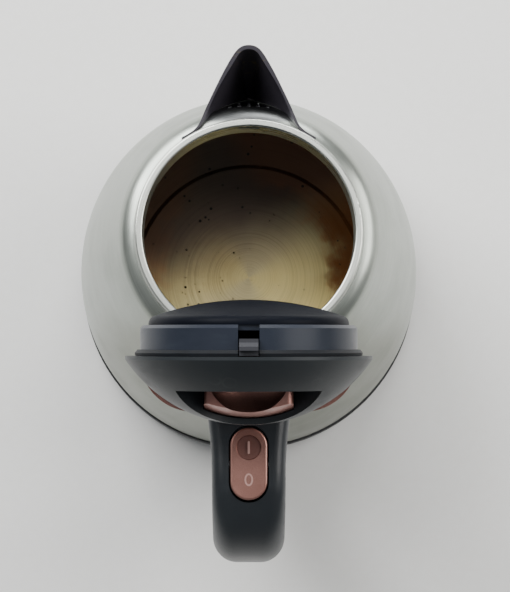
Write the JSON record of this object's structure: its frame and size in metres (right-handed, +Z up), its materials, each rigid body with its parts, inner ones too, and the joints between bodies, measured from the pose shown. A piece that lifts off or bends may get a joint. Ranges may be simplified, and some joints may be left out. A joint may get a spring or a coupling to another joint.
{
  "type": "electric jug kettle",
  "caption": "Cordless electric jug kettle in brushed steel with an open beak spout, side handle, rocker switch and sprung domed lid, modelled with the lid open.",
  "frame": {"origin": "on the body's axis, in the plane of the surface the kettle stands on, which is the mouth of the coupler socket", "axes": "+Z up along the body's axis; +Y towards the spout; the handle is on -Y; +X completes the right-handed set"},
  "size_m": [0.1592, 0.2125, 0.276],
  "materials": {
    "body_steel": "fine brushed stainless steel with a satin sheen",
    "floor_steel": "turned stainless steel with a straw-coloured scale stain",
    "spreader_aluminium": "as cast and machined",
    "element_sheath": "heat-darkened tube",
    "contact_brass": "plain brass",
    "bimetal": "rolled strip",
    "black_plastic": "fine moulded texture",
    "slate_plastic": "satin blue-grey moulding",
    "plug_plastic": "satin blue-grey moulding",
    "baffle_plastic": "smooth dark navy moulding",
    "silicone": "soft moulded seal",
    "copper_finish": "rose-copper metallic coating on a moulding",
    "latch_steel": "plain steel",
    "screw_steel": "zinc-plated",
    "spring_steel": "drawn wire"
  },
  "bodies": {
    "kettle": {"body_shell": "body_steel", "spout": "body_steel", "mouth_collar": "body_steel", "base_skirt": "body_steel", "floor_plate": "floor_steel", "heat_spreader": "spreader_aluminium", "heating_element": "element_sheath", "element_terminals": "element_sheath", "contact_rings": "contact_brass", "earth_contact": "contact_brass", "dry_boil_discs": "bimetal", "steam_disc": "bimetal", "coupler_socket": "black_plastic", "thermal_control": "black_plastic", "base_ring": "black_plastic", "base_cover": "black_plastic", "switch_housing": "black_plastic", "handle_outer": "slate_plastic", "handle_inner": "slate_plastic", "hinge_bracket": "slate_plastic", "hinge_pin": "latch_steel", "rocker_pivot": "latch_steel", "base_screws": "screw_steel", "hinge_spring": "spring_steel"},
    "lid": {"lid_cover": "slate_plastic", "lid_plug": "plug_plastic", "lid_screws": "screw_steel", "lid_seal": "silicone", "lid_trim": "copper_finish", "steam_baffle": "baffle_plastic", "latch_spring": "spring_steel"},
    "release_button": {"release_button": "copper_finish"},
    "latch_bolt": {"latch_bolt": "latch_steel"},
    "switch_rocker": {"switch_rocker": "copper_finish"}
  },
  "joints": [
    {"name": "lid_hinge", "type": "hinge", "parent": "kettle", "child": "lid", "pos_m": [0, -0.0542, 0.176], "axis": [1, 0, 0], "range_deg": [-96, 0], "stiffness_Nm_per_rad": 0.05, "springref_deg": 20.05},
    {"name": "button_slide", "type": "slide", "parent": "lid", "child": "release_button", "axis": [0, 0.1045, -0.9945], "range_m": [0, 0.003], "stiffness_N_per_m": 250, "springref_m": -0.002, "deforming": ["latch_spring"]},
    {"name": "bolt_slide", "type": "slide", "parent": "lid", "child": "latch_bolt", "axis": [0, 0.1045, -0.9945], "range_m": [0, 0.003]},
    {"name": "rocker_tilt", "type": "hinge", "parent": "kettle", "child": "switch_rocker", "pos_m": [0, -0.0943, 0.1765], "axis": [-1, 0, 0], "range_deg": [0, 5], "stiffness_Nm_per_rad": 0.005, "springref_deg": -5.73}
  ],
  "couplings": [
    {"joint": "bolt_slide", "follows": "button_slide", "ratio": 1}
  ]
}
